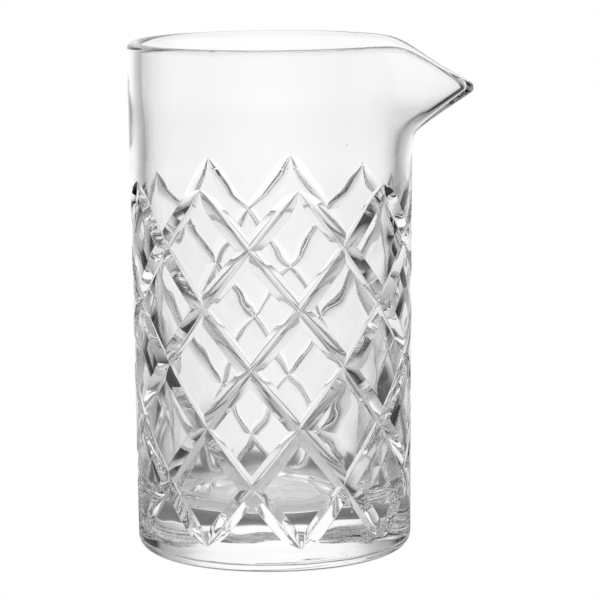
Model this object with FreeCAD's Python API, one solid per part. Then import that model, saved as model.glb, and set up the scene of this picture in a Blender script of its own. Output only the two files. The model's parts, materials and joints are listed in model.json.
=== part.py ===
import FreeCAD
import Part

import math
import os

# Mixing glass: one heavy piece of clear glass, with a pulled pouring lip on +X and
# eighteen V grooves that cross into nine diamonds around the wall.
# Millimetres, +Z up, origin at the centre of the flat foot.

# body
HEIGHT = 162.0
R_RIM = 45.0
R_FOOT = 43.6
HEEL = 4.5
R_BORE = 39.6
BORE_LAND = 6.0
BORE_TAPER = 0.072
FLOOR = 17.0
FLOOR_CORNER = 7.0
WALL_AT_RIM = 4.3
THINNING = 1.6
COLLAR_Z = 124.0

# diamond cut
DIAMONDS = 9
ROW_TOP = 119.6
ROW_STEP = 18.6
ROWS = 6
GROOVE_WIDTH = 5.86
GROOVE_DEPTH = 2.0
RUN_OUT = 8.5
HAND_OFFSET = 0.04
TIP_GAP = 0.2

# pouring lip
LIP_HALF_ANGLE = math.radians(50.9)
LIP_BLUNT = 0.105
LIP_DROP_FROM = 41.5
LIP_DROP_SLOPE = 0.60
LIP_DROP_BLEND = 4.0
LIP_DROP_FADE = 34.0
LIP_DROP_LATE = 0.1
LIP_SAG = 1.9
LIP_SAG_REACH = 12.0
LIP_ROOT = 29.7
LIP_ROOT_RISE = 16.0
LIP_ROOT_BEND = 1.7
LIP_THINNER = 0.1
LIP_THIN_TURN = 0.30

# how the collar's skin is laid out
OUTER_STEPS = 16
ROUND_STEPS = 8
AROUND = 48
NOSE_PACKING = 0.65
LEVEL_UNTIL = 0.3
SEW = 0.005

# how the groove cutters are laid out
CUTTER_LIFT = 1.6
CUTTER_STEP = 3.0
CUTTER_LEAD = (0.8, 0.3)

AXIS_FOOT = FreeCAD.Vector(0, 0, 0)
AXIS = FreeCAD.Vector(0, 0, 1)


def vec(x, y, z):
    return FreeCAD.Vector(x, y, z)


def wall_radius(z):
    return R_FOOT + (R_RIM - R_FOOT) * z / HEIGHT


# ---------------------------------------------------------------- body of revolution


def lower_body():
    """Everything below the collar: foot, grooved wall, the bore's short land, its taper and the floor."""
    foot = vec(R_FOOT - HEEL, 0, 0)
    heel_mid = vec(R_FOOT - HEEL + HEEL * math.sin(math.pi / 4), 0, HEEL * (1 - math.cos(math.pi / 4)))
    heel_top = vec(wall_radius(HEEL), 0, HEEL)
    wall_top = vec(wall_radius(COLLAR_Z), 0, COLLAR_Z)
    bore_top = vec(R_BORE, 0, COLLAR_Z)
    land_foot = vec(R_BORE, 0, COLLAR_Z - BORE_LAND)
    lean = math.atan(BORE_TAPER)
    low_z = FLOOR + FLOOR_CORNER * (1 + math.sin(lean))
    bore_low = vec(R_BORE - BORE_TAPER * (COLLAR_Z - BORE_LAND - low_z), 0, low_z)
    corner_r = bore_low.x - FLOOR_CORNER * math.cos(lean)
    swing = 0.5 * (math.pi / 2 - lean)
    corner_mid = vec(
        corner_r + FLOOR_CORNER * math.cos(swing),
        0,
        FLOOR + FLOOR_CORNER * (1 - math.sin(swing)),
    )
    floor_edge = vec(corner_r, 0, FLOOR)
    floor_mid = vec(0, 0, FLOOR)
    centre = vec(0, 0, 0)
    edges = [
        Part.makeLine(centre, foot),
        Part.Arc(foot, heel_mid, heel_top).toShape(),
        Part.makeLine(heel_top, wall_top),
        Part.makeLine(bore_top, land_foot),
        Part.makeLine(land_foot, bore_low),
        Part.Arc(bore_low, corner_mid, floor_edge).toShape(),
        Part.makeLine(floor_edge, floor_mid),
    ]
    faces = [edge.rotated(AXIS_FOOT, AXIS, 180).revolve(AXIS_FOOT, AXIS, 360) for edge in edges]
    return [face for one in faces for face in one.Faces]


# ---------------------------------------------------------------- collar with the lip


def lip_reach(turn):
    """Plan radius of the lip: the rim circle, drawn out along two tangents to a blunt nose."""
    lean = LIP_HALF_ANGLE - math.hypot(turn, LIP_BLUNT)
    return R_RIM / math.cos(max(lean, 0.0))


def lip_drop(x):
    """How far the lip lies below the rim plane, a ramp that starts softly."""
    ramp = x - LIP_DROP_FROM
    fade = smooth(x / LIP_DROP_FADE - LIP_DROP_LATE)
    return LIP_DROP_SLOPE * 0.5 * (ramp + math.hypot(ramp, LIP_DROP_BLEND)) * fade


def smooth(t):
    t = min(max(t, 0.0), 1.0)
    return t * t * (3.0 - 2.0 * t)


def wall_thickness(turn, rise, z):
    """Wall of the collar: as over the bore at its foot, soon thinner, thinnest at the nose."""
    over_bore = wall_radius(z) - R_BORE
    at_lip = WALL_AT_RIM - LIP_THINNER * math.exp(-((turn / LIP_THIN_TURN) ** 2))
    return over_bore + (at_lip - over_bore) * smooth(THINNING * rise)


def outer(turn, rise):
    """Outer skin of the collar, rise running from 0 at its foot to 1 where the lip's round begins."""
    reach = lip_reach(turn)
    round_r = 0.5 * wall_thickness(turn, 1.0, HEIGHT)
    out = reach - R_RIM
    sag = LIP_SAG * smooth(out / LIP_SAG_REACH)
    top = HEIGHT - round_r - lip_drop(reach * math.cos(turn)) - sag
    z = COLLAR_Z + (top - COLLAR_Z) * rise
    near = min(abs(turn) / LIP_HALF_ANGLE, 1.0)
    root = HEIGHT - LIP_ROOT + LIP_ROOT_RISE * near * near
    flare = 0.5 * (z - root + math.hypot(z - root, LIP_ROOT_BEND))
    full = 0.5 * (top - root + math.hypot(top - root, LIP_ROOT_BEND))
    foot = 0.5 * (COLLAR_Z - root + math.hypot(COLLAR_Z - root, LIP_ROOT_BEND))
    radius = wall_radius(z) + out * (flare - foot) / (full - foot)
    return vec(radius * math.cos(turn), radius * math.sin(turn), z)


def frame_at(turn, rise):
    """Outward normal and up-the-wall direction of the outer skin."""
    step = 1e-4
    around = outer(turn + step, rise) - outer(turn - step, rise)
    up = outer(turn, rise + step) - outer(turn, rise - step)
    normal = around.cross(up)
    normal.normalize()
    normal = vec(normal.x, normal.y, normal.z * smooth(rise / LEVEL_UNTIL))
    normal.normalize()
    along = normal.cross(around)
    along.normalize()
    return normal, along


def collar_profile(turn):
    """Points up the outer skin, over the rounded lip and down the inner skin at one azimuth."""
    points = []
    for i in range(OUTER_STEPS):
        points.append(outer(turn, i / OUTER_STEPS))
    normal, along = frame_at(turn, 1.0)
    half = 0.5 * wall_thickness(turn, 1.0, HEIGHT)
    centre = outer(turn, 1.0) - normal * half
    for i in range(ROUND_STEPS + 1):
        swing = math.pi * i / ROUND_STEPS
        points.append(centre + normal * (half * math.cos(swing)) + along * (half * math.sin(swing)))
    for i in range(OUTER_STEPS - 1, -1, -1):
        rise = i / OUTER_STEPS
        normal, along = frame_at(turn, rise)
        skin = outer(turn, rise)
        points.append(skin - normal * wall_thickness(turn, rise, skin.z))
    return points


def azimuths():
    """Azimuths from the back round to the back, closer together near the nose."""
    turns = []
    for i in range(-AROUND, AROUND + 1):
        t = i / AROUND
        turns.append(math.pi * ((1 - NOSE_PACKING) * t + NOSE_PACKING * t * abs(t)))
    return turns


def collar():
    """The smooth top of the glass: one skin up the outside, over the lip and down the inside."""
    grid = [collar_profile(turn) for turn in azimuths()]
    skin = Part.BSplineSurface()
    skin.interpolate(grid)
    return skin.toShape()


# ---------------------------------------------------------------- crossed V grooves


def groove_depth(run, length):
    """Depth at a distance along the groove: full, with a curved run-out to nothing at each end."""
    left = min(run, length - run)
    if left >= RUN_OUT:
        return GROOVE_DEPTH
    return GROOVE_DEPTH * (1.0 - (1.0 - left / RUN_OUT) ** 2)


def groove_cutter(start, hand, extra, shift):
    """A V-shaped bar wound along one groove, its valley under the wall and its open side outside."""
    drop = ROW_STEP * ROWS
    sweep = math.radians(360.0 / DIAMONDS / 2 * ROWS)
    mean = wall_radius(ROW_TOP - 0.5 * drop)
    length = math.hypot(drop, mean * sweep)
    lean = math.atan2(mean * sweep, drop)
    slope = 0.5 * GROOVE_WIDTH / GROOVE_DEPTH
    valley = []
    left = []
    right = []
    count = int(length / CUTTER_STEP)
    runs = [-lead for lead in CUTTER_LEAD]
    runs += [length * i / count for i in range(count + 1)]
    runs += [length + lead for lead in reversed(CUTTER_LEAD)]
    for run in runs:
        turn = start + hand * sweep * (run + shift) / length
        z = ROW_TOP - drop * (run + shift) / length
        depth = groove_depth(run, length) + (extra if 0 < run < length else 0.0)
        radius = wall_radius(z)
        normal = vec(math.cos(turn), math.sin(turn), 0)
        along = vec(
            -hand * math.sin(turn) * math.sin(lean),
            hand * math.cos(turn) * math.sin(lean),
            -math.cos(lean),
        )
        across = normal.cross(along)
        middle = normal * radius + vec(0, 0, z)
        valley.append(middle - normal * depth)
        half = slope * (depth + CUTTER_LIFT)
        left.append(middle + normal * CUTTER_LIFT + across * half)
        right.append(middle + normal * CUTTER_LIFT - across * half)
    edges = []
    for points in (valley, left, right):
        curve = Part.BSplineCurve()
        curve.interpolate(points)
        edges.append(curve.toShape())
    faces = [
        Part.makeRuledSurface(edges[0], edges[1]),
        Part.makeRuledSurface(edges[1], edges[2]),
        Part.makeRuledSurface(edges[2], edges[0]),
        Part.Face(Part.makePolygon([valley[0], left[0], right[0], valley[0]])),
        Part.Face(Part.makePolygon([valley[-1], left[-1], right[-1], valley[-1]])),
    ]
    skin = Part.makeCompound(faces)
    skin.sewShape()
    solid = Part.Solid(skin.Shells[0])
    if solid.Volume < 0:
        solid.reverse()
    return solid


def grooves():
    """Nine grooves of each hand. Where two tips meet, one ends just short of the other."""
    cutters = []
    for i in range(DIAMONDS):
        start = 2 * math.pi * i / DIAMONDS
        cutters.append(groove_cutter(start, 1, 0.0, -TIP_GAP))
        cutters.append(groove_cutter(start, -1, HAND_OFFSET, TIP_GAP))
    return cutters


skin = Part.makeCompound(lower_body() + [collar()])
skin.sewShape(SEW)
glass = Part.Solid(skin.Shells[0]).cut(grooves())
os.makedirs("parts", exist_ok=True)
glass.Solids[0].exportStep("parts/mixing_glass.step")
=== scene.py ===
import json
import math

import bpy
import numpy as np
from mathutils import Matrix, Vector


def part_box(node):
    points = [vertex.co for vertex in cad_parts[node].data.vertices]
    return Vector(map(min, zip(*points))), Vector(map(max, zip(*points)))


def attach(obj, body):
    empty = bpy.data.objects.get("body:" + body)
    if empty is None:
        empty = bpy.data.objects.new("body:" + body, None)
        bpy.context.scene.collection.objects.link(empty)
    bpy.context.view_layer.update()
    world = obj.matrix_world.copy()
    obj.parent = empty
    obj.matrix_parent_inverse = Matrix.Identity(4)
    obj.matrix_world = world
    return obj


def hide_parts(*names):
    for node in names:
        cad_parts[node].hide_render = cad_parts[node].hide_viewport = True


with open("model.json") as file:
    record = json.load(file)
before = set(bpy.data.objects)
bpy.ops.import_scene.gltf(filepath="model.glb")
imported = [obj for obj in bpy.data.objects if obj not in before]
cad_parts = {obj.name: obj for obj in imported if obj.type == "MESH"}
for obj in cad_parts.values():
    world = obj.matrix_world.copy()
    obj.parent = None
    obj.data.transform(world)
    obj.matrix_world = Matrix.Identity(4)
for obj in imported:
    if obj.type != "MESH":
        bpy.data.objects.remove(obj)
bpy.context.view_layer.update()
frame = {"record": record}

NODE = "mixing_glass"
MM = 0.001

# ------------------------------------------------------------------ dimensions, in millimetres
# The record gives the bore; the rest repeats the design's driving sizes.

BORE = next(m for m in frame["record"]["mounts"] if m["name"] == "bore")
R_BORE = BORE["dims"]["r_mm"]
HEIGHT = 162.0
R_RIM = 45.0
R_FOOT = 43.6
TAPER = (R_RIM - R_FOOT) / HEIGHT
HEEL = 4.5
BORE_LAND = 6.0
BORE_TAPER = 0.072
FLOOR = 17.0
FLOOR_CORNER = 7.0
WALL_AT_RIM = 4.3
THINNING = 1.6
COLLAR_Z = 124.0

# diamond cut, with flanks that steepen towards the valley and narrow rounds in place of sharp creases
DIAMONDS = 9
ROW_TOP = 119.6
ROW_STEP = 18.6
ROWS = 6
GROOVE_HALF = 2.93
GROOVE_DEPTH = 2.0
FLANK_SLOPE = 0.42
FLANK_POWER = 3.0
FLANK_BELLY = GROOVE_DEPTH - FLANK_SLOPE * GROOVE_HALF
RUN_OUT = 8.5
EDGE_ROUND = 0.16

# pouring lip
LIP_HALF_ANGLE = math.radians(50.9)
LIP_BLUNT = 0.105
LIP_DROP_FROM = 41.5
LIP_DROP_SLOPE = 0.60
LIP_DROP_BLEND = 4.0
LIP_DROP_FADE = 34.0
LIP_DROP_LATE = 0.1
LIP_SAG = 1.9
LIP_SAG_REACH = 12.0
LIP_ROOT = 29.7
LIP_ROOT_RISE = 16.0
LIP_ROOT_BEND = 1.7
LIP_THINNER = 0.1
LIP_THIN_TURN = 0.30
LEVEL_UNTIL = 0.3

# how finely the mesh is laid out
TURN_STEPS = 121
TURN_SPREAD = (0.42, 0.58)
COLLAR_STEPS = 33
ROUND_STEPS = 15
LAND_STEPS = 3
BORE_STEPS = 26
CORNER_STEPS = 13
INWARD = (0.8, 0.6, 0.4, 0.2, 0.06)
FLANK_STEPS = 5
FACET_SHARES = (0.0, 0.06, 0.16, 0.30, 0.46, 0.64, 0.84)
LEAST_SHARE = 0.03
ROUND_SHARE = 0.35
LATTICE_PASSES = 12
NOT_CUT = 1e-6
FRAME_STEP = 1e-4
NORMAL_STEP = 1e-3

UPRIGHT = np.array([0.0, 0.0, 1.0])


def smooth(t):
    t = np.clip(t, 0.0, 1.0)
    return t * t * (3.0 - 2.0 * t)


def unit(v):
    return v / np.linalg.norm(v, axis=-1, keepdims=True)


def wall_radius(z):
    return R_FOOT + (R_RIM - R_FOOT) * z / HEIGHT


def bore_radius(z):
    return R_BORE - BORE_TAPER * np.maximum(COLLAR_Z - BORE_LAND - z, 0.0)


# ------------------------------------------------------------------ the mesh is gathered here


class Skin:
    """Triangles with a normal of their own at each corner, so that creases stay crisp and curves smooth."""

    def __init__(self):
        self.points = []
        self.tris = []
        self.normals = []
        self.count = 0

    def add(self, points):
        first = self.count
        self.points.append(np.asarray(points, float))
        self.count += len(points)
        return first

    def face(self, tris, normals):
        self.tris.append(np.asarray(tris, int))
        self.normals.append(np.asarray(normals, float))

    def grid(self, rows, normals):
        """A band of quads between closed rings of points, all rings alike, split into triangles."""
        rings, around = rows.shape[:2]
        first = self.add(rows.reshape(-1, 3))
        index = first + np.arange(rings * around).reshape(rings, around)
        a, b = index[:-1], index[1:]
        na, nb = normals[:-1], normals[1:]
        a_next, b_next = np.roll(a, -1, axis=1), np.roll(b, -1, axis=1)
        na_next, nb_next = np.roll(na, -1, axis=1), np.roll(nb, -1, axis=1)
        self.face(
            np.stack([a, a_next, b_next], -1).reshape(-1, 3),
            np.stack([na, na_next, nb_next], -2).reshape(-1, 3, 3),
        )
        self.face(
            np.stack([a, b_next, b], -1).reshape(-1, 3),
            np.stack([na, nb_next, nb], -2).reshape(-1, 3, 3),
        )
        return index

    def close(self, ring, z, up):
        """A flat fan from a ring to the axis."""
        hub = self.add([[0.0, 0.0, z]])
        tris = np.stack([ring, np.roll(ring, -1), np.full_like(ring, hub)], -1)
        self.face(tris, np.broadcast_to([0.0, 0.0, up], (len(tris), 3, 3)))


class Band:
    """Rings of points from one end of a surface to the other, with their normals."""

    def __init__(self):
        self.rings = []
        self.normals = []

    def add(self, points, normals):
        self.rings.append(points)
        self.normals.append(normals)

    def circle(self, radius, z, slope_r, slope_z):
        """A level circle. The slopes are the radial and upright parts of its normal."""
        n = math.hypot(slope_r, slope_z)
        c, s = np.cos(TURNS), np.sin(TURNS)
        self.add(
            np.stack([radius * c, radius * s, np.full_like(c, z)], -1),
            np.stack([slope_r / n * c, slope_r / n * s, np.full_like(c, slope_z / n)], -1),
        )


half_turn = np.linspace(0.0, 1.0, TURN_STEPS)
half_turn = math.pi * (TURN_SPREAD[0] * half_turn + TURN_SPREAD[1] * half_turn**2)
TURNS = np.concatenate([half_turn, -half_turn[-2:0:-1]])
skin = Skin()

# ------------------------------------------------------------------ collar and lip


def lip_reach(turn):
    """Plan radius of the lip: the rim circle, drawn out along two tangents to a blunt nose."""
    lean = LIP_HALF_ANGLE - np.hypot(turn, LIP_BLUNT)
    return R_RIM / np.cos(np.maximum(lean, 0.0))


def lip_drop(x):
    ramp = x - LIP_DROP_FROM
    fade = smooth(x / LIP_DROP_FADE - LIP_DROP_LATE)
    return LIP_DROP_SLOPE * 0.5 * (ramp + np.hypot(ramp, LIP_DROP_BLEND)) * fade


def wall_thickness(turn, rise, z):
    over_bore = wall_radius(z) - R_BORE
    at_lip = WALL_AT_RIM - LIP_THINNER * np.exp(-((turn / LIP_THIN_TURN) ** 2))
    return over_bore + (at_lip - over_bore) * smooth(THINNING * rise)


def soft_ramp(t):
    return 0.5 * (t + np.hypot(t, LIP_ROOT_BEND))


def outer(turn, rise):
    """Outer skin of the collar, rise running from 0 at its foot to 1 where the lip's round begins."""
    reach = lip_reach(turn)
    out = reach - R_RIM
    round_r = 0.5 * wall_thickness(turn, 1.0, HEIGHT)
    sag = LIP_SAG * smooth(out / LIP_SAG_REACH)
    top = HEIGHT - round_r - lip_drop(reach * np.cos(turn)) - sag
    z = COLLAR_Z + (top - COLLAR_Z) * rise
    near = np.minimum(np.abs(turn) / LIP_HALF_ANGLE, 1.0)
    root = HEIGHT - LIP_ROOT + LIP_ROOT_RISE * near * near
    foot = soft_ramp(COLLAR_Z - root)
    radius = wall_radius(z) + out * (soft_ramp(z - root) - foot) / (soft_ramp(top - root) - foot)
    return np.stack([radius * np.cos(turn), radius * np.sin(turn), z], -1)


def frame_at(turn, rise):
    """Outward normal and up-the-wall direction of the outer skin."""
    around = outer(turn + FRAME_STEP, rise) - outer(turn - FRAME_STEP, rise)
    up = outer(turn, rise + FRAME_STEP) - outer(turn, rise - FRAME_STEP)
    normal = unit(np.cross(around, up))
    normal[..., 2] *= smooth(rise / LEVEL_UNTIL)
    normal = unit(normal)
    return normal, unit(np.cross(normal, around))


def inner(turn, rise):
    """Inner skin of the collar, a wall's thickness behind the outer one."""
    at = outer(turn, rise)
    normal, _ = frame_at(turn, rise)
    return at - normal * wall_thickness(turn, rise, at[..., 2])[..., None]


def skin_normal(surface, turn, rise, sign):
    around = surface(turn + NORMAL_STEP, rise) - surface(turn - NORMAL_STEP, rise)
    up = surface(turn, np.minimum(rise + NORMAL_STEP, 1.0)) - surface(turn, rise - NORMAL_STEP)
    return sign * unit(np.cross(around, up))


inside = Band()
collar_rise = np.linspace(0.0, 1.0, COLLAR_STEPS)
for rise in collar_rise:
    r = np.full_like(TURNS, rise)
    inside.add(outer(TURNS, r), skin_normal(outer, TURNS, r, 1.0))
top_normal, top_along = frame_at(TURNS, np.ones_like(TURNS))
half = 0.5 * wall_thickness(TURNS, 1.0, HEIGHT)[:, None]
centre = inside.rings[-1] - top_normal * half
for swing in np.linspace(0.0, math.pi, ROUND_STEPS)[1:-1]:
    direction = top_normal * math.cos(swing) + top_along * math.sin(swing)
    inside.add(centre + half * direction, direction)
for rise in collar_rise[::-1]:
    r = np.full_like(TURNS, rise)
    inside.add(inner(TURNS, r), skin_normal(inner, TURNS, r, -1.0))

# ------------------------------------------------------------------ bore, inside corner and floor

lean = math.atan(BORE_TAPER)
corner_z = FLOOR + FLOOR_CORNER * (1 + math.sin(lean))
corner_r = bore_radius(corner_z) - FLOOR_CORNER * math.cos(lean)
for z in np.linspace(COLLAR_Z, COLLAR_Z - BORE_LAND, LAND_STEPS)[1:]:
    inside.circle(R_BORE, z, -1.0, 0.0)
for z in np.linspace(COLLAR_Z - BORE_LAND, corner_z, BORE_STEPS)[1:]:
    inside.circle(bore_radius(z), z, -1.0, BORE_TAPER)
for a in np.linspace(-lean, math.pi / 2, CORNER_STEPS)[1:]:
    radius = corner_r + FLOOR_CORNER * math.cos(a)
    inside.circle(radius, FLOOR + FLOOR_CORNER * (1 - math.sin(a)), -math.cos(a), math.sin(a))
for share in INWARD:
    inside.circle(corner_r * share, FLOOR, 0.0, 1.0)
index = skin.grid(np.array(inside.rings), np.array(inside.normals))
collar_foot = index[0]
skin.close(index[-1], FLOOR, 1.0)

# ------------------------------------------------------------------ heel and foot

under = Band()
for a in np.linspace(0.0, math.pi / 2, CORNER_STEPS):
    radius = (R_FOOT - HEEL) + (wall_radius(HEEL) - R_FOOT + HEEL) * math.cos(a)
    under.circle(radius, HEEL * (1 - math.sin(a)), math.cos(a), -math.sin(a))
for share in INWARD:
    under.circle((R_FOOT - HEEL) * share, 0.0, 0.0, -1.0)
index = skin.grid(np.array(under.rings)[:, ::-1], np.array(under.normals)[:, ::-1])
heel_top = index[0][::-1]
skin.close(index[-1], 0.0, -1.0)

# ------------------------------------------------------------------ crossed V grooves
# u and v number the two hands of groove: u is a whole number along each groove of one hand,
# v along each of the other. Their mesh lines lie along both hands, so every crease is an edge.

PITCH = 2 * math.pi / DIAMONDS
STEP_X = 0.5 * PITCH * wall_radius(ROW_TOP - 0.5 * ROW_STEP * ROWS)
STEP_Z = ROW_STEP
ALONG = math.hypot(STEP_X, STEP_Z)
BACK = (STEP_X**2 - STEP_Z**2) / ALONG
ACROSS = 2 * STEP_X * STEP_Z / ALONG
LENGTH = ALONG * ROWS
SIDE_EDGE = EDGE_ROUND / ACROSS
SIDE_WIDE = GROOVE_HALF / ACROSS


def flank_depth(away, share):
    """Depth of the cut at a distance from its valley. Share is how much of its full size it has."""
    t = np.clip(1.0 - away / (GROOVE_HALF * share), -1.0, 1.0)
    return share * (FLANK_SLOPE * GROOVE_HALF * t + FLANK_BELLY * np.sign(t) * np.abs(t) ** FLANK_POWER)


def flank_fall(away, share):
    """Slope of the flank at a distance from the valley."""
    t = np.clip(1.0 - away / (GROOVE_HALF * share), 0.0, 1.0)
    return FLANK_SLOPE + FLANK_POWER * FLANK_BELLY / GROOVE_HALF * t ** (FLANK_POWER - 1.0)


def run_depth(run):
    """Depth of the valley at a distance along the groove, with a curved run-out at each end."""
    left = np.clip(np.minimum(run, LENGTH - run) / RUN_OUT, 0.0, 1.0)
    return GROOVE_DEPTH * (1.0 - (1.0 - left) ** 2)


def run_slope(run):
    left = np.minimum(run, LENGTH - run) / RUN_OUT
    sign = np.where(run < 0.5 * LENGTH, 1.0, -1.0)
    return np.where((left > 0) & (left < 1), sign * 2 * GROOVE_DEPTH / RUN_OUT * (1.0 - left), 0.0)


def marks():
    """Offsets of the mesh lines from a groove's valley to half way to the next groove, one side."""
    flank = list(np.linspace(SIDE_EDGE, SIDE_WIDE - SIDE_EDGE, FLANK_STEPS))
    facet = SIDE_WIDE + SIDE_EDGE
    return flank + [facet + (0.5 - SIDE_WIDE - SIDE_EDGE) * t for t in FACET_SHARES]


MARKS = marks()
PER = 2 * len(MARKS)
OFFSETS = np.array([-m for m in MARKS[::-1]] + MARKS)
AROUND_N = PER * DIAMONDS
DOWN_N = PER * ROWS


def nominal(k):
    """The groove that mesh line k belongs to, and the line's offset from its valley."""
    cell = np.floor_divide(k + PER // 2, PER)
    return cell, OFFSETS[k + PER // 2 - cell * PER]


def squeeze(offset, share):
    """Draws the groove's mesh lines in towards the valley where the groove runs out."""
    e = SIDE_EDGE
    w = SIDE_WIDE
    ks = np.clip(share, LEAST_SHARE, 1.0)
    es = np.minimum(e, ROUND_SHARE * ks * w)
    size = np.abs(offset)
    moved = np.where(
        size <= e,
        size * es / e,
        np.where(
            size <= w - e,
            es + (size - e) * (ks * w - 2 * es) / (w - 2 * e),
            np.where(
                size <= w + e,
                ks * w - es + (size - w + e) * es / e,
                ks * w + es + (size - w - e) * (0.5 - ks * w - es) / (0.5 - w - e),
            ),
        ),
    )
    return np.sign(offset) * moved


def runs(u, v):
    """Distance of each point along its groove of either hand."""
    run_u = (v - cell_u) * ALONG + (u - cell_u) * BACK
    run_v = (cell_v - u) * ALONG - (v - cell_v) * BACK
    return run_u, run_v


m_index = np.arange(AROUND_N)[:, None] + np.zeros(DOWN_N + 1, int)[None, :]
n_index = m_index + np.arange(DOWN_N + 1)[None, :]
cell_u, off_u = nominal(m_index)
cell_v, off_v = nominal(n_index)
u = cell_u + off_u
v = cell_v + off_v
for _ in range(LATTICE_PASSES):
    run_u, run_v = runs(u, v)
    u = cell_u + squeeze(off_u, run_depth(run_u) / GROOVE_DEPTH)
    v = cell_v + squeeze(off_v, run_depth(run_v) / GROOVE_DEPTH)
run_u, run_v = runs(u, v)
turn = 0.5 * PITCH * (u + v)
z = ROW_TOP - ROW_STEP * (v - u)


def groove(run, off):
    """Depth of one groove's V at a point: its valley is filled to a narrow round."""
    depth = run_depth(run)
    share = np.clip(depth / GROOVE_DEPTH, LEAST_SHARE, 1.0)
    narrow = np.minimum(SIDE_EDGE, ROUND_SHARE * share * SIDE_WIDE) * ACROSS
    away = np.maximum(np.abs(off) * ACROSS, narrow)
    return flank_depth(away, share)


edge_u = np.abs(off_u) > SIDE_WIDE + 0.5 * SIDE_EDGE
edge_v = np.abs(off_v) > SIDE_WIDE + 0.5 * SIDE_EDGE
depth_u = np.where(edge_u, 0.0, groove(run_u, u - cell_u))
depth_v = np.where(edge_v, 0.0, groove(run_v, v - cell_v))
radius = wall_radius(z) - np.maximum(np.maximum(depth_u, depth_v), 0.0)
cut_points = np.stack([radius * np.cos(turn), radius * np.sin(turn), z], -1)
first = skin.add(cut_points.reshape(-1, 3))
cut_index = first + np.arange(z.size).reshape(z.shape)

# normals of the three kinds of sheet at every point
radial = np.stack([np.cos(turn), np.sin(turn), np.zeros_like(turn)], -1)
tangent = np.stack([-np.sin(turn), np.cos(turn), np.zeros_like(turn)], -1)
normal_plain = unit(radial - TAPER * UPRIGHT)


def flank_normal(run, off, hand):
    """Normal of the V's flank on one side of a groove, from the slope of its depth."""
    share = np.clip(run_depth(run) / GROOVE_DEPTH, LEAST_SHARE, 1.0)
    fall = flank_fall(np.abs(off) * ACROSS, share)
    along = np.array([hand * STEP_X, -STEP_Z]) / ALONG
    across = np.array([STEP_Z, hand * STEP_X]) / ALONG
    d_along = run_slope(run)
    d_across = -fall * np.sign(off)
    d_x = d_along * along[0] + d_across * across[0]
    d_z = d_along * along[1] + d_across * across[1]
    return unit(radial + d_x[..., None] * tangent + (d_z - TAPER)[..., None] * UPRIGHT)


normal_u = np.where(edge_u[..., None], normal_plain, flank_normal(run_u, u - cell_u, 1.0))
normal_v = np.where(edge_v[..., None], normal_plain, flank_normal(run_v, v - cell_v, -1.0))


def at(array, m, n):
    """A value at lattice point (m, n): the pattern closes after DIAMONDS turns of both hands."""
    return array[np.mod(m, AROUND_N), n - m]


def corner_values(array, corners):
    return np.stack([at(array, a, b) for a, b in corners], 1)


def add_triangles(corners):
    """Triangles of the cut wall. The deeper of the grooves that a triangle lies in gives its normals."""
    ids = np.stack([at(cut_index, a, b) for a, b in corners], -1)
    size_u = np.abs(corner_values(off_u, corners)).min(1)
    size_v = np.abs(corner_values(off_v, corners)).min(1)
    deep_u = corner_values(depth_u, corners).mean(1)
    deep_v = corner_values(depth_v, corners).mean(1)
    in_u = (size_u < SIDE_WIDE) & (deep_u > NOT_CUT)
    in_v = (size_v < SIDE_WIDE) & (deep_v > NOT_CUT)
    use_u = in_u & (~in_v | (deep_u >= deep_v))
    use_v = in_v & ~use_u
    normals = corner_values(normal_plain, corners)
    normals = np.where(use_v[:, None, None], corner_values(normal_v, corners), normals)
    normals = np.where(use_u[:, None, None], corner_values(normal_u, corners), normals)
    skin.face(ids[:, ::-1], normals[:, ::-1])


m, k = np.meshgrid(np.arange(AROUND_N), np.arange(DOWN_N), indexing="ij")
m, n = m.ravel(), (m + k).ravel()
whole = n > m
a, b = m[whole], n[whole]
rising = (at(off_u, a, b) + at(off_u, a + 1, b)) * (at(off_v, a, b) + at(off_v, a, b + 1)) > 0
for chosen, quads in (
    (rising, (((0, 0), (1, 0), (1, 1)), ((0, 0), (1, 1), (0, 1)))),
    (~rising, (((0, 0), (1, 0), (0, 1)), ((1, 0), (1, 1), (0, 1)))),
):
    for corners in quads:
        add_triangles([(a[chosen] + i, b[chosen] + j) for i, j in corners])
a = np.arange(AROUND_N)
add_triangles([(a, a), (a + 1, a + 1), (a, a + 1)])
add_triangles([(a, a + DOWN_N), (a + 1, a + DOWN_N), (a + 1, a + 1 + DOWN_N)])


def zip_rings(upper, upper_turn, lower, lower_turn):
    """Joins two rings of the plain wall that have different numbers of points."""
    tris = []
    i = j = 0
    nu, nl = len(upper), len(lower)
    while i < nu or j < nl:
        next_u = upper_turn[(i + 1) % nu] + (2 * math.pi if i + 1 >= nu else 0.0)
        next_l = lower_turn[(j + 1) % nl] + (2 * math.pi if j + 1 >= nl else 0.0)
        if j >= nl or (i < nu and next_u <= next_l):
            tris.append((lower[j % nl], upper[(i + 1) % nu], upper[i % nu]))
            i += 1
        else:
            tris.append((lower[j % nl], lower[(j + 1) % nl], upper[i % nu]))
            j += 1
    spots = np.concatenate(skin.points)[np.array(tris)]
    skin.face(tris, unit(unit(spots * [1.0, 1.0, 0.0]) - TAPER * UPRIGHT))


smooth_turn = np.mod(TURNS, 2 * math.pi)
zip_rings(collar_foot, smooth_turn, cut_index[:, 0], turn[:, 0])
low_turn = np.mod(turn[:, -1], 2 * math.pi)
order = np.argsort(low_turn)
zip_rings(cut_index[order, -1], low_turn[order], heel_top, smooth_turn)

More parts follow.
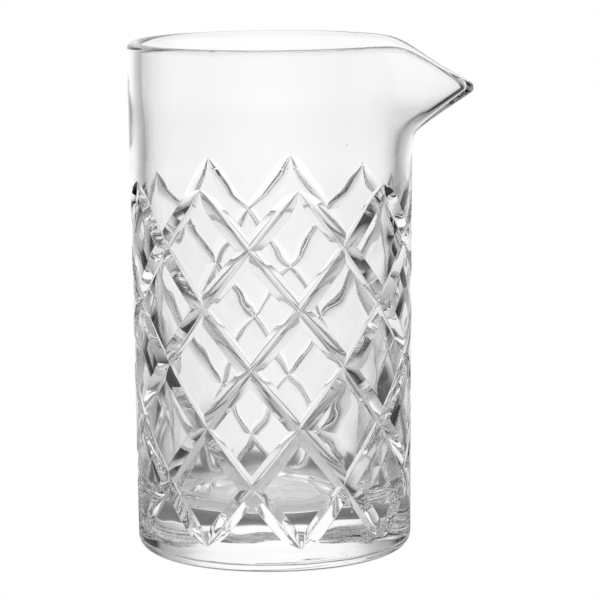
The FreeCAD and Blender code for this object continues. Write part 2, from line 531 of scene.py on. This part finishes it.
points = np.concatenate(skin.points) * MM
tris = np.concatenate(skin.tris)
normals = np.concatenate(skin.normals)
mesh = bpy.data.meshes.new("glass")
mesh.vertices.add(len(points))
mesh.vertices.foreach_set("co", points.ravel())
mesh.loops.add(len(tris) * 3)
mesh.loops.foreach_set("vertex_index", tris.ravel())
mesh.polygons.add(len(tris))
mesh.polygons.foreach_set("loop_start", np.arange(0, len(tris) * 3, 3))
mesh.polygons.foreach_set("loop_total", np.full(len(tris), 3))
mesh.update(calc_edges=True)
mesh.shade_smooth()
mesh.normals_split_custom_set(unit(normals.reshape(-1, 3)).tolist())
if mesh.validate(verbose=True):
    print("mesh was repaired")
glass = bpy.data.objects.new("clear_body", mesh)
bpy.context.scene.collection.objects.link(glass)
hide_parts(NODE)
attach(glass, "root")

# ------------------------------------------------------------------ node helpers


def make(tree, kind, inputs, **settings):
    """A node with its settings, and its input sockets given a value or a link from another socket."""
    node = tree.nodes.new(kind)
    for name, value in settings.items():
        setattr(node, name, value)
    for name, value in inputs.items():
        if isinstance(value, bpy.types.NodeSocket):
            tree.links.new(value, node.inputs[name])
        else:
            node.inputs[name].default_value = value
    return node


def calculate(tree, operation, first, second=0.0):
    return make(tree, "ShaderNodeMath", {0: first, 1: second}, operation=operation).outputs[0]


def map_range(tree, value, span, to):
    inputs = {"Value": value, "From Min": span[0], "From Max": span[1], "To Min": to[0], "To Max": to[1]}
    return make(tree, "ShaderNodeMapRange", inputs).outputs["Result"]


def grey_ramp(tree, stops, value):
    node = make(tree, "ShaderNodeValToRGB", {"Fac": value})
    elements = node.color_ramp.elements
    while len(elements) < len(stops):
        elements.new(0.5)
    for element, (position, grey) in zip(elements, stops):
        element.position = position
        element.color = (grey, grey, grey, 1)
    return node.outputs["Color"]


def blend(tree, factor, first, second, kind="MIX"):
    """Mixes two colours: sockets 6 and 7 are the colour inputs and output 2 is the colour."""
    inputs = {"Factor": factor, 6: first, 7: second}
    return make(tree, "ShaderNodeMix", inputs, data_type="RGBA", blend_type=kind).outputs[2]


def new_material(name):
    mat = bpy.data.materials.new(name)
    mat.use_nodes = True
    tree = mat.node_tree
    tree.nodes.clear()
    return mat, tree


# ------------------------------------------------------------------ clear glass

GLASS_COLOUR = (0.990, 0.990, 0.992, 1.0)
GLASS_IOR = 1.52
RELIEF_HEIGHT = 0.0010
WAVE_SCALE = 54.0
WAVE_ROUGHNESS = 0.45
CALM_FROM_Z = (0.108, 0.126)
CALM_WAVES = (1.0, 0.12)
SEED_SCALE = 75.0
SEED_SIZE = (0.0, 0.024)
SEED_HEIGHT = (0.25, 0.0)

mat, tree = new_material("clear_glass")
coord = make(tree, "ShaderNodeTexCoord", {}).outputs["Object"]
split = make(tree, "ShaderNodeSeparateXYZ", {0: coord})
# the mould leaves the cut part of the wall and the foot slightly wavy, the fire-polished band hardly so
wave = make(
    tree,
    "ShaderNodeTexNoise",
    {"Vector": coord, "Scale": WAVE_SCALE, "Detail": 1.0, "Roughness": WAVE_ROUGHNESS, "Distortion": 0.0},
)
calm = map_range(tree, split.outputs["Z"], CALM_FROM_Z, CALM_WAVES)
height = calculate(tree, "MULTIPLY", wave.outputs["Fac"], calm)
# a few fine seeds, small bubbles that reach the surface
seed = make(tree, "ShaderNodeTexVoronoi", {"Vector": coord, "Scale": SEED_SCALE})
dot = map_range(tree, seed.outputs["Distance"], SEED_SIZE, SEED_HEIGHT)
relief = calculate(tree, "ADD", height, dot)
bump = make(tree, "ShaderNodeBump", {"Strength": 1.0, "Distance": RELIEF_HEIGHT, "Height": relief})
clear = make(
    tree,
    "ShaderNodeBsdfPrincipled",
    {
        "Base Color": GLASS_COLOUR,
        "Roughness": 0.0,
        "IOR": GLASS_IOR,
        "Transmission Weight": 1.0,
        "Normal": bump.outputs["Normal"],
    },
)
make(tree, "ShaderNodeOutputMaterial", {"Surface": clear.outputs[0]})
glass.data.materials.append(mat)

# ------------------------------------------------------------------ floor and light
# The floor and the backdrop are white to the camera. To light that goes through the glass they are a
# bright wall with darker sides, which draws the glass's lines. Brightness is given against how far round
# to the side it lies, 0 straight behind the glass, 0.5 at either side and 1 at the camera.

# light that passes straight through, on the floor and in the room alike
OPEN = [
    (0.0, 0.96), (0.10, 0.93), (0.14, 0.84), (0.19, 0.55), (0.24, 0.42), (0.27, 0.34), (0.30, 0.05),
    (0.39, 0.03), (0.45, 0.65), (0.55, 0.72), (0.66, 0.50), (0.80, 0.65), (1.0, 0.75),
]
# light that is reflected inside the glass and ends on the floor
FLOOR_SIDES = [
    (0.0, 1.0), (0.08, 1.0), (0.14, 0.88), (0.22, 0.80), (0.26, 0.58), (0.31, 0.20), (0.37, 0.03),
    (1.0, 0.02),
]
# the same in the room
ROOM_SIDES = [(0.0, 1.06), (0.08, 1.06), (0.14, 0.90), (0.19, 0.50), (0.24, 0.16), (0.32, 0.02), (1.0, 0.02)]
# light that is reflected many times
EVEN = [(0.0, 1.0), (0.16, 0.85), (0.32, 0.10), (0.68, 0.10), (0.84, 0.85), (1.0, 1.0)]
# the floor against half the distance from the glass's axis, in metres: a painted shadow, grey under the
# glass, darkest in a ring just around it and white further out
FLOOR_NEAR_SHADOW = [
    (0.019, 0.50), (0.024, 0.38), (0.029, 0.14), (0.037, 0.18), (0.043, 0.40), (0.050, 0.82), (0.060, 1.00),
    (0.60, 1.10),
]
# the room against the height of the direction, and a soft light overhead that leaves out the sides
ROOM_TALL = [(0.0, 1.10), (0.55, 1.10), (0.70, 0.6), (0.80, 0.1), (1.0, 0.02)]
OVERHEAD = [(0.46, 0.0), (0.56, 1.05), (1.0, 1.05)]
OVERHEAD_WIDE = [(0.40, 1.0), (0.55, 0.0)]
STRAIGHT_BOUNCES = 4.5
MANY_BOUNCES = (5.0, 9.0)
FLOOR_BLEND = (0.05, 0.14)
FLOOR_SIZE = 6.0
FLOOR_GAP = 0.0002
WHITE = (1, 1, 1, 1)


def side_swing(tree, split):
    """How far round to the side a point or direction lies."""
    swing = calculate(tree, "ARCTAN2", calculate(tree, "ABSOLUTE", split.outputs["X"]), split.outputs["Y"])
    return calculate(tree, "DIVIDE", swing, math.pi)


def from_sides(tree, stops, swing, depth):
    """Light by its direction: open to rays that pass straight through, shaded to reflected ones."""
    straight = calculate(tree, "LESS_THAN", depth, STRAIGHT_BOUNCES)
    return blend(tree, straight, grey_ramp(tree, stops, swing), grey_ramp(tree, OPEN, swing))


def seen(tree, colour, swing, path):
    """White to the camera, the light's own colour to the glass, and a soft gradient after many bounces."""
    many = map_range(tree, path.outputs["Ray Depth"], MANY_BOUNCES, (0.0, 1.0))
    settled = blend(tree, many, colour, grey_ramp(tree, EVEN, swing))
    return blend(tree, path.outputs["Is Camera Ray"], settled, WHITE)


mat, tree = new_material("floor")
coord = make(tree, "ShaderNodeTexCoord", {}).outputs["Object"]
split = make(tree, "ShaderNodeSeparateXYZ", {0: coord})
path = make(tree, "ShaderNodeLightPath", {})
away = make(tree, "ShaderNodeVectorMath", {0: coord}, operation="LENGTH").outputs["Value"]
# painted shadow on the floor: grey under the glass and darker in a ring around it
near = grey_ramp(tree, FLOOR_NEAR_SHADOW, calculate(tree, "MULTIPLY", away, 0.5))
swing = side_swing(tree, split)
sides = from_sides(tree, FLOOR_SIDES, swing, path.outputs["Ray Depth"])
# the painted shadow near the glass, multiplied by the floor's side shading further out
lit = blend(tree, map_range(tree, away, FLOOR_BLEND, (0.0, 1.0)), near, sides, "MULTIPLY")
glow = make(tree, "ShaderNodeEmission", {"Color": seen(tree, lit, swing, path)})
make(tree, "ShaderNodeOutputMaterial", {"Surface": glow.outputs[0]})

floor_mesh = bpy.data.meshes.new("floor")
floor_mesh.from_pydata(
    [(x * FLOOR_SIZE, y * FLOOR_SIZE, 0) for x, y in ((-1, -1), (1, -1), (1, 1), (-1, 1))], [], [(0, 1, 2, 3)]
)
floor_mesh.materials.append(mat)
floor = bpy.data.objects.new("floor", floor_mesh)
floor.location = (0.0, 0.0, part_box(NODE)[0][2] - FLOOR_GAP)
bpy.context.scene.collection.objects.link(floor)

scene = bpy.context.scene
world = bpy.data.worlds.new("studio")
scene.world = world
world.use_nodes = True
tree = world.node_tree
tree.nodes.clear()
split = make(tree, "ShaderNodeSeparateXYZ", {0: make(tree, "ShaderNodeTexCoord", {}).outputs["Generated"]})
path = make(tree, "ShaderNodeLightPath", {})
swing = side_swing(tree, split)
sides = from_sides(tree, ROOM_SIDES, swing, path.outputs["Ray Depth"])
wall = blend(tree, 1.0, grey_ramp(tree, ROOM_TALL, split.outputs["Z"]), sides, "MULTIPLY")
wide = grey_ramp(tree, OVERHEAD_WIDE, calculate(tree, "ABSOLUTE", split.outputs["X"]))
above = blend(tree, 1.0, grey_ramp(tree, OVERHEAD, split.outputs["Z"]), wide, "MULTIPLY")
lit = blend(tree, 1.0, wall, above, "LIGHTEN")
back = make(tree, "ShaderNodeBackground", {"Color": seen(tree, lit, swing, path)})
make(tree, "ShaderNodeOutputWorld", {"Surface": back.outputs[0]})

scene.view_settings.view_transform = "Standard"
scene.view_settings.look = "None"
scene.cycles.max_bounces = 32
scene.cycles.transmission_bounces = 32
scene.cycles.glossy_bounces = 16
scene.cycles.transparent_max_bounces = 16
scene.cycles.caustics_refractive = True
scene.cycles.caustics_reflective = True

# ------------------------------------------------------------------ camera, in metres

AZIMUTH = math.radians(-0.8)
ROLL = math.radians(0.52)
DISTANCE = 1.000
EYE_HEIGHT = 0.2365
AIM_SIDE = 0.0088
AIM_HEIGHT = 0.0791
SENSOR = 36.0
LENS_IN_FRAMES = 3179.0 / 600.0

eye = Vector((math.sin(AZIMUTH) * DISTANCE, -math.cos(AZIMUTH) * DISTANCE, EYE_HEIGHT))
aim = Vector((AIM_SIDE * math.cos(AZIMUTH), AIM_SIDE * math.sin(AZIMUTH), AIM_HEIGHT))
forward = (aim - eye).normalized()
level = forward.cross(Vector((0, 0, 1))).normalized()
upward = level.cross(forward)
right = level * math.cos(ROLL) - upward * math.sin(ROLL)
up = upward * math.cos(ROLL) + level * math.sin(ROLL)
cam_data = bpy.data.cameras.new("camera")
cam_data.sensor_width = SENSOR
cam_data.lens = LENS_IN_FRAMES * SENSOR
cam_data.clip_start = 0.05
cam = bpy.data.objects.new("camera", cam_data)
scene.collection.objects.link(cam)
cam.matrix_world = Matrix.Translation(eye) @ Matrix((right, up, -forward)).transposed().to_4x4()
scene.camera = cam
